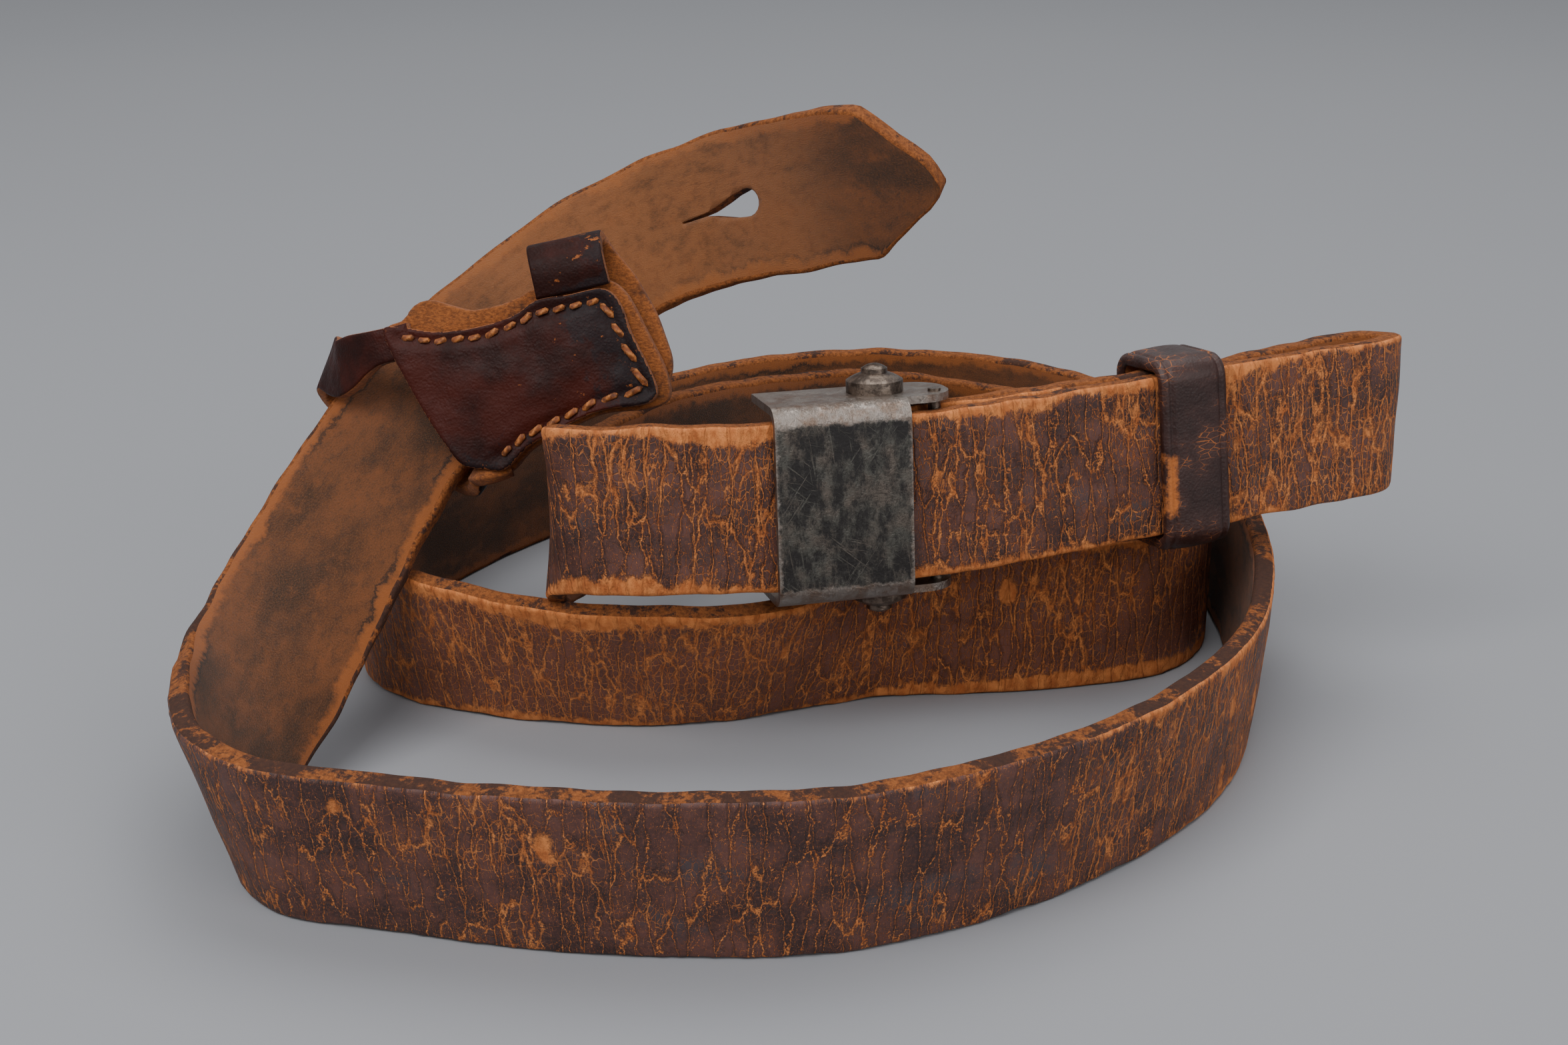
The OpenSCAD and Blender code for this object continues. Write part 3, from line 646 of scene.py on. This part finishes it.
def plate_steel():
    """Blackened sheet steel, rubbed bright at its bends, rims and in scratches."""
    m = Nodes("plate_steel")
    p = m.own_axes(BUCKLE_AT, BUCKLE_R)
    s = m.node("ShaderNodeSeparateXYZ")
    m.feed(s.inputs[0], p)
    ragged = m.noise(p, 0.55, 6, 0.75)
    patina = m.noise(m.scaled(p, (0.5, 0.5, 0.26)), 1, 7, 0.78)
    worn_zone = m.noise(p, 0.12, 3, 0.6)
    speck = m.noise(p, 2.6, 4, 0.7)

    def scratches(tilt, spacing, low, high):
        """Thin straight scratches at an angle on the plate."""
        turned = m.node("ShaderNodeMapping")
        m.feed(turned.inputs["Vector"], p)
        turned.inputs["Rotation"].default_value = (0, math.radians(tilt), 0)
        return m.step(m.noise(m.scaled(turned.outputs[0], spacing), 1, 3, 0.55), low, high)

    # Distance from the plate's rims, in millimetres, with a ragged border.
    side = m.maths("SUBTRACT", m.maths("ABSOLUTE", s.outputs[0]), 10.2)
    height = m.maths("SUBTRACT", m.maths("ABSOLUTE", s.outputs[2]), 12.4)
    rim = m.maths("MULTIPLY_ADD", ragged, 2.6, m.maths("MAXIMUM", side, height))
    rim = m.step(rim, 1.0, 1.7)
    lines = None
    for tilt, spacing, low, high in (
        (8, (2.2, 0.5, 0.1), 0.63, 0.69), (50, (3.2, 0.5, 0.1), 0.63, 0.68), (-35, (2.8, 0.5, 0.12), 0.64, 0.69),
        (75, (3.4, 0.5, 0.16), 0.64, 0.69),
    ):
        line = m.maths("MULTIPLY", scratches(tilt, spacing, low, high), 0.8)
        lines = line if lines is None else m.maths("MAXIMUM", lines, line)
    rubbed = m.step(m.maths("MULTIPLY_ADD", worn_zone, 0.35, patina), 0.6, 0.78)
    rubbed = m.maths("MAXIMUM", rubbed, lines)
    rubbed = m.maths("MULTIPLY", rubbed, m.step(speck, 0.28, 0.52, 0.45, 1.0), clamp=True)
    grey = m.mix(m.step(m.noise(p, 0.25, 4, 0.6), 0.4, 0.65), srgb("5b5953"), srgb("655c54"))
    colour = m.mix(rubbed, srgb("262322"), grey)
    bright = m.mix(m.step(m.noise(p, 0.3, 5, 0.7), 0.4, 0.65), srgb("948b83"), srgb("7f6c5f"))
    colour = m.mix(rim, colour, bright)
    normal = m.bump(m.maths("MULTIPLY_ADD", rubbed, 0.5, m.noise(p, 1.3, 5, 0.7)), 0.00014, 0.8)
    metal = m.maths("MAXIMUM", m.step(rubbed, 0, 1, 0.5, 0.8), rim)
    return m.finish(colour, m.step(metal, 0.5, 1, 0.5, 0.33), normal, metallic=metal)


def pin_steel():
    """Brown-grey turned steel of the pins and domes."""
    m = Nodes("pin_steel")
    p = m.place()
    blotch = m.noise(p, 0.7, 5, 0.7)
    fine = m.noise(p, 3.0, 5, 0.7)
    colour = m.mix(m.step(blotch, 0.4, 0.62), srgb("574d46"), srgb("887a6e"))
    colour = m.mix(m.step(fine, 0.55, 0.75, 0.0, 0.8), colour, srgb("352b27"))
    return m.finish(colour, m.step(fine, 0.3, 0.8, 0.3, 0.52), m.bump(fine, 0.0001, 0.6), metallic=1.0)


GRAIN_MAT, EDGE_MAT, FLESH_MAT = grain_leather(), edge_leather(), flesh_leather()
FROG_MAT, KEEPER_MAT, SUEDE_MAT, THREAD_MAT = frog_leather(), keeper_leather(), suede(), waxed_thread()
PLATE_MAT, PIN_MAT = plate_steel(), pin_steel()


# ---------------------------------------------------------------- strap
KEYHOLE_STATION, SLOT_STATION = 9, 27


def width_directions(path):
    heading = np.gradient(path[:, :3], axis=0)
    heading /= np.linalg.norm(heading, axis=1)[:, None]
    up = np.array([0, 0, 1]) - heading * heading[:, 2:3]
    up /= np.linalg.norm(up, axis=1)[:, None]
    lean = np.radians(path[:, 3])[:, None]
    return up * np.cos(lean) + np.cross(heading, up) * np.sin(lean), heading


def station(k):
    """Centre, heading, width direction and normal of the strap at its k-th point, about 4 mm apart."""
    path = spline(strap_stops(), 4)
    width, heading = width_directions(path)
    return path[k, :3], heading[k], width[k], np.cross(heading[k], width[k])


def build_strap():
    path = spline(strap_stops(), STEP)
    width, _ = width_directions(path)
    along = np.concatenate([[0], np.cumsum(np.linalg.norm(np.diff(path[:, :3], axis=0), axis=1))])
    # The pointed end: straight flanks and a rounded tip.
    half = np.full(len(path), STRAP_W / 2)
    near = along < POINT_LEN + 4
    flank = 2.6 + (STRAP_W / 2 - 2.6) * along / POINT_LEN
    tip = np.sqrt(np.clip(1 - (1 - np.clip(along / 2.6, 0, 1)) ** 2, 0.02, 1))
    half[near] = np.minimum(STRAP_W / 2, flank[near]) * tip[near]
    strap = sweep("strap", path[:, :3], width, half, path[:, 4] / 2, corner=0.75, across=16, wobble=0.42)
    give(strap, GRAIN_MAT, EDGE_MAT, FLESH_MAT)
    # The keyhole: a round hole that narrows into a slit.
    c, t, w, g = station(KEYHOLE_STATION)
    outline = [(2.35 * math.cos(a), 2.35 * math.sin(a)) for a in np.radians(np.arange(80, 281, 20))]
    outline += [(3, -2.1), (5.5, -1.5), (7.6, -1), (12, -1.6), (12.1, -1.3), (7.8, -0.4), (5.5, 0.5), (3, 1.6)]
    verts = placed([c + t * x + w * y + g * z for z in (-5, 5) for x, y in outline])
    n = len(outline)
    faces = [tuple(range(n)), tuple(range(2 * n - 1, n - 1, -1))]
    faces += [(k, k + n, (k + 1) % n + n, (k + 1) % n) for k in range(n)]
    cutter = make_mesh("keyhole_cutter", verts, faces, smooth=False)
    give(cutter, GRAIN_MAT, EDGE_MAT, FLESH_MAT)
    cutter.data.polygons.foreach_set("material_index", np.full(len(cutter.data.polygons), EDGE, np.int32))
    cut = strap.modifiers.new("keyhole", "BOOLEAN")
    cut.operation, cut.object, cut.solver = "DIFFERENCE", cutter, "EXACT"
    apply_modifiers(strap)
    bpy.data.objects.remove(cutter)
    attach(strap, "strap")
    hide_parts("main_strap")


# ---------------------------------------------------------------- stitches
def capsule(length, radius, flat=0.7, rings=6, sides=10):
    """Points and faces of a plump stitch along X, sunk at both ends."""
    verts = []
    for x in (-length / 2 + length * k / rings for k in range(rings + 1)):
        f = min(1.0, math.sqrt(max(0.0, 1 - (2 * abs(x) / length) ** 4)) + 0.12)
        for k in range(sides):
            a = 2 * math.pi * k / sides
            drop = -0.45 * radius * (2 * x / length) ** 2
            verts.append((x, radius * f * math.cos(a), radius * f * flat * math.sin(a) + drop))
    faces = []
    for i in range(rings):
        for k in range(sides):
            l = (k + 1) % sides
            faces.append((i * sides + k, i * sides + l, (i + 1) * sides + l, (i + 1) * sides + k))
    faces.append(tuple(range(sides - 1, -1, -1)))
    faces.append(tuple(rings * sides + k for k in range(sides)))
    return verts, faces


def stitches(name, rows, to_place, body, replaced, radius=0.55):
    """rows: (a, b, count, slant) on the local XY plane. to_place turns local points into the route's axes."""
    verts, faces, uvs = [], [], []
    for r, (a, b, count, slant) in enumerate(rows):
        a, b = np.array(a, float), np.array(b, float)
        d = (b - a) / count
        length = np.linalg.norm(d)
        for k in range(count):
            mid = a + d * (k + 0.5)
            jitter = noise.noise(Vector((mid[0] * 1.7, mid[1] * 1.3, r)))
            angle = math.atan2(d[1], d[0]) + math.radians(slant + 10 * jitter)
            pts, fcs = capsule(length * (0.84 + 0.2 * jitter), radius * (1 + 0.2 * jitter))
            base = len(verts)
            for x, y, z in pts:
                local_x = mid[0] + x * math.cos(angle) - y * math.sin(angle)
                local_y = mid[1] + x * math.sin(angle) + y * math.cos(angle)
                verts.append(to_place(local_x, local_y, z))
            for f in fcs:
                faces.append(tuple(base + i for i in f))
                uvs += [(pts[i][0] * MM, math.atan2(pts[i][2], pts[i][1]) * radius * MM) for i in f]
    obj = make_mesh(name, placed(verts), faces, None, uvs)
    give(obj, THREAD_MAT)
    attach(obj, body)
    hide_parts(replaced)


# ---------------------------------------------------------------- keeper
def rounded_loop(depth, height, r, step=0.7):
    """Points round a rectangle with rounded corners, centred, counter-clockwise in (v, w)."""
    pts = []
    for cx, cy, start in ((1, 1, 0), (-1, 1, 90), (-1, -1, 180), (1, -1, 270)):
        for k in range(9):
            a = math.radians(start + k * 11.25)
            pts.append((cx * (depth / 2 - r) + r * math.cos(a), cy * (height / 2 - r) + r * math.sin(a)))
    out = []
    for i, p in enumerate(pts):
        q = pts[(i + 1) % len(pts)]
        count = max(1, round(math.dist(p, q) / step))
        out += [(p[0] + (q[0] - p[0]) * k / count, p[1] + (q[1] - p[1]) * k / count) for k in range(count)]
    return out


def build_keeper():
    depth, height = KEEPER_BACK + KEEPER_FRONT, STRAP_W + 1
    loop = rounded_loop(depth + KEEPER_T, height + KEEPER_T, 2.6)
    centre_v = (KEEPER_BACK - KEEPER_FRONT) / 2
    centre = [run_pt(KEEPER_U, centre_v + v, w) for v, w in loop]

    def relief(s, a, tag):
        """A crease pressed in near each rim, and a slight crown between them."""
        if tag != GRAIN:
            return 0
        crease = math.exp(-(((abs(a) - 4.35) / 0.28) ** 2))
        return 0.12 - 0.34 * crease - 0.012 * a * a + 0.07 * noise.noise(Vector((s * 0.3, a * 0.3, 2)))

    keeper = sweep(
        "keeper", centre, RUN_R[:, 0], KEEPER_W / 2, KEEPER_T / 2, corner=0.7, across=34, closed=True, relief=relief)
    give(keeper, KEEPER_MAT, KEEPER_MAT, SUEDE_MAT)
    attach(keeper, "keeper")
    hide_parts("keeper_band")
    back = KEEPER_BACK + KEEPER_T + 0.15
    stitches(
        "keeper_thread", [((-2.8, w), (2.8, w), 2, 6) for w in (-4.5, -1.5, 1.5, 4.5)],
        lambda x, y, z: run_pt(KEEPER_U + x, back + z, y), "keeper", "keeper_stitches", radius=0.45)


# ---------------------------------------------------------------- frog
FRONT = [
    [-15.8, 12.2], [-12, 11.4], [-9, 10.2], [-5, 9.4], [-0.6, 9.2], [3, 9.4], [5.5, 9.9], [8.6, 11.2], [14, 11],
    [19.8, 10.6], [21.4, 8.4], [22.3, 3.1], [24.1, -4], [24.3, -6.8], [22.8, -8], [15.1, -7.6], [8.4, -8.9],
    [2.6, -10.7], [-1.8, -13.4], [-5, -12.6], [-8, -11.3], [-10.1, -7.3], [-12.3, -1.9], [-14.3, 4.4], [-15.4, 8.2],
]
BACK = [
    [-15.8, 12.4], [-13, 13], [-11, 14.8], [-8.4, 15.2], [-5, 13.6], [-2, 12.2], [2, 12], [6.1, 12.6], [8, 13.2],
    [14, 13], [20, 12.2], [22.2, 10], [24.4, 2.8], [26, -4.6], [25.4, -8], [22, -8.8], [15.1, -8.1], [8.4, -9.4],
    [2.6, -11.2], [-1.8, -14], [-5, -13.2], [-7.6, -11.4], [-9.9, -7.3], [-12.2, -1.9], [-14.1, 4.4], [-15.2, 8.2],
]
SEAM = [
    (-13.5, 10.3), (-8.6, 8.5), (-0.6, 7.5), (5.4, 8.4), (8, 9.3), (18.8, 9), (20.9, 2.2), (22.6, -5.8),
    (15, -6), (2.9, -8.8), (-2, -11.2),
]


def distance_to(points, path):
    """Distance of each 2-D point from an open line."""
    best = np.full(len(points), 1e9)
    for a, b in zip(path[:-1], path[1:]):
        a, b = np.array(a, float), np.array(b, float)
        f = np.clip(((points - a) @ (b - a)) / ((b - a) @ (b - a)), 0, 1)
        best = np.minimum(best, np.linalg.norm(points - (a + f[:, None] * (b - a)), axis=1))
    return best


def moulded_plate(name, outline, z_low, z_high, shape, front_mat, back_mat):
    """A leather plate between two heights over an outline, remeshed so that it can be pressed and domed."""
    pts = spline([[x, y, 0] for x, y in outline], 0.8, closed=True)
    n = len(pts)
    verts = [(x, y, z) for z in (z_low, z_high) for x, y, _ in pts]
    faces = [tuple(range(n - 1, -1, -1)), tuple(range(n, 2 * n))]
    faces += [(k, (k + 1) % n, (k + 1) % n + n, k + n) for k in range(n)]
    obj = make_mesh(name, verts, faces)
    remesh = obj.modifiers.new("remesh", "REMESH")
    remesh.mode, remesh.voxel_size = "VOXEL", 0.36
    relax = obj.modifiers.new("relax", "SMOOTH")
    relax.factor, relax.iterations = 0.5, 3
    apply_modifiers(obj)
    mesh = obj.data
    co = np.array([v.co for v in mesh.vertices])
    normals = np.array([p.normal for p in mesh.polygons])
    co = shape(co)
    mesh.vertices.foreach_set("co", placed(FROG_AT + co @ FROG_R.T).ravel().astype(np.float32))
    mats = np.where(normals[:, 2] > 0.45, 0, 1)
    mats = np.where(normals[:, 2] < -0.45, 2, mats)
    mesh.polygons.foreach_set("material_index", mats.astype(np.int32))
    mesh.polygons.foreach_set("use_smooth", np.ones(len(mesh.polygons), bool))
    mesh.update()
    give(obj, front_mat, SUEDE_MAT, back_mat)
    return obj


def build_frog():
    def front_shape(co):
        """Pressed in along the seam, domed inside it, dented a little all over."""
        seam = distance_to(co[:, :2], SEAM)
        top = smoothstep(-FROG_T, 0, co[:, 2])
        press = -0.55 * np.exp(-((seam / 1.1) ** 2)) * top
        dome = 0.35 * smoothstep(1, 7, seam) * top
        dents = np.array([noise.noise(Vector((x * 0.14, y * 0.18, 5))) for x, y, _ in co]) * 0.5
        co = co.copy()
        co[:, 2] += press + dome + dents * top
        return co

    def back_shape(co):
        """The right flap curls away from the front layer, and the whole lining gets a slight wobble."""
        co = co.copy()
        flap = smoothstep(21, 27.5, co[:, 0])
        co[:, 2] -= 0.9 * flap
        co[:, 2] += 0.5 * np.array([noise.noise(Vector((x * 0.16, y * 0.16, 8))) for x, y, _ in co])
        return co

    front = moulded_plate("frog_face", FRONT, -FROG_T + 0.15, -0.1, front_shape, FROG_MAT, SUEDE_MAT)
    back = moulded_plate("frog_lining", BACK, -2 * FROG_T, -FROG_T + 0.1, back_shape, SUEDE_MAT, FROG_MAT)
    # The band that goes from the face round the back of the strap: points across the strap at the slot.
    slot_c, slot_t, slot_w, slot_g = station(SLOT_STATION)

    def slot_pt(w, g, t=0):
        return slot_c + slot_t * t + slot_w * w + slot_g * g

    centre = [
        frog_pt(-12, 9.6, -1.5), frog_pt(-17, 9.6, -1.9), frog_pt(-21.5, 9, -4), frog_pt(-25.4, 8, -7.2),
        slot_pt(16.6, -1.6, -1), slot_pt(16.2, 2.6, -1), slot_pt(13, 4.7, -0.5), slot_pt(0, 4.4), slot_pt(-12.5, 4.2),
        slot_pt(-15.1, 2.4), slot_pt(-15.3, -0.5), frog_pt(-5, -12.1, -3.4), frog_pt(-1.5, -11.6, -3.6),
    ]
    path = spline(centre, 0.8)
    f = np.linspace(0, 1, len(path))
    # The band's width direction turns from the frog's own Y to the strap's length and back.
    start, middle, end = -FROG_R[:, 1], slot_t, slot_t * 0.8 - FROG_R[:, 1] * 0.2
    width = np.array([unit(start * (1 - smoothstep(0.12, 0.45, k)) + middle * smoothstep(0.12, 0.45, k)) for k in f])
    width += np.array([(end - middle) * smoothstep(0.8, 1, k) for k in f])
    half = 2.7 + 1.9 * smoothstep(0.06, 0.22, f) - 1.6 * smoothstep(0.8, 1, f)
    band = sweep("frog_band", path, width, half, 1.15, corner=0.5, across=8, wobble=0.3)
    give(band, FROG_MAT, SUEDE_MAT, SUEDE_MAT)
    # The small loop: from low on the back, widening upwards, over the top and down onto the face.
    ring = np.array([
        (21.2, -6.6, -6.2, 4.2), (20.8, -3, -6.5, 6), (20, 2, -6.8, 6.5), (18.6, 7, -7.1, 6.7), (17, 11.5, -7.4, 6.5),
        (15.6, 14.8, -7.6, 6.3), (14.8, 17.2, -7.1, 6.2), (14.6, 18.9, -5.6, 6.1), (14.6, 19, -3.4, 6),
        (14.6, 17.2, -1.6, 5.9), (14.6, 15, -1.1, 5.9), (14.6, 13.2, -1.5, 5.9), (14.6, 11.6, -2, 5.9),
    ])
    ring = spline(ring, 0.6)
    path = [frog_pt(*q[:3]) for q in ring]
    loop = sweep("frog_hanger", path, FROG_R[:, 0], ring[:, 3], 0.95, corner=0.45, across=10, wobble=0.35)
    give(loop, FROG_MAT, SUEDE_MAT, SUEDE_MAT)
    for obj in (front, back, band, loop):
        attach(obj, "frog")
    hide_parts("frog_front")
    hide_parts("frog_back")
    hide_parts("frog_loop")
    rows = [(a, b, n, 12) for a, b, n in zip(SEAM[:-1], SEAM[1:], (2, 3, 2, 1, 4, 2, 2, 2, 4, 2))]

    def seam_pt(x, y, z):
        """On the face, some stitches sunk deeper than others."""
        return frog_pt(x, y, z - 0.3 - 0.12 * math.sin(1.3 * x + 2 * y))

    stitches("frog_thread", rows, seam_pt, "frog", "frog_stitches", radius=0.48)


# ---------------------------------------------------------------- steel
def build_steel():
    for name in ("buckle_body", "pivot_pin", "pin_washers", "friction_bar", "stud_plate", "stud"):
        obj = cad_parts[name]
        give(obj, PLATE_MAT if name == "buckle_body" else PIN_MAT)
        bevel = obj.modifiers.new("soft_edges", "BEVEL")
        bevel.width, bevel.segments, bevel.limit_method = 0.00028, 3, "ANGLE"
        bevel.angle_limit = math.radians(40)
        bevel.harden_normals = False
        obj.data.polygons.foreach_set("use_smooth", np.ones(len(obj.data.polygons), bool))
        normal = obj.modifiers.new("flat_faces", "WEIGHTED_NORMAL")
        normal.keep_sharp = True


# ---------------------------------------------------------------- stage
def build_stage():
    floor = make_mesh("floor", [(-6, -6, 0), (6, -6, 0), (6, 6, 0), (-6, 6, 0)], [(0, 1, 2, 3)], smooth=False)
    m = Nodes("floor_paper")
    p = m.place(1.0)
    tone = m.noise(p, 2.0, 3, 0.5)
    give(floor, m.finish(m.mix(tone, srgb("8c8d91"), srgb("939498")), 0.6, specular=0.3))

    world = bpy.data.worlds.new("studio")
    world.use_nodes = True
    world.node_tree.nodes["Background"].inputs["Color"].default_value = (0.95, 0.97, 1.0, 1)
    world.node_tree.nodes["Background"].inputs["Strength"].default_value = 0.44
    bpy.context.scene.world = world

    def area(name, at, target, size, watts, colour=(1, 1, 1)):
        light = bpy.data.lights.new(name, "AREA")
        light.shape, light.size, light.size_y = "RECTANGLE", size[0], size[1]
        light.energy, light.color = watts, colour
        obj = bpy.data.objects.new(name, light)
        bpy.context.scene.collection.objects.link(obj)
        obj.location = at
        obj.rotation_euler = (Vector(target) - Vector(at)).to_track_quat("-Z", "Y").to_euler()

    area("key", (-0.4, -0.6, 0.8), (0, 0, 0.03), (0.8, 0.6), 9)
    area("top", (0.15, 0.3, 1.1), (0, 0, 0.03), (1.0, 0.8), 7)
    area("fill", (0.7, -0.8, 0.5), (0, 0, 0.04), (0.7, 0.6), 4)

    camera = bpy.data.cameras.new("camera")
    camera.lens, camera.sensor_width = 50, 36
    camera.clip_start = 0.01
    obj = bpy.data.objects.new("camera", camera)
    bpy.context.scene.collection.objects.link(obj)
    obj.location = placed([0, -315, 156])
    obj.rotation_euler = (math.radians(69), 0, 0)
    bpy.context.scene.camera = obj


build_strap()
stitches(
    "fold_thread", [((u, -10), (u, 10), 5, 8) for u in (6, 11)],
    lambda x, y, z: run_pt(x, FOLD_BACK + z, y), "strap", "strap_end_stitches", radius=0.5)
build_keeper()
build_frog()
build_steel()
build_stage()
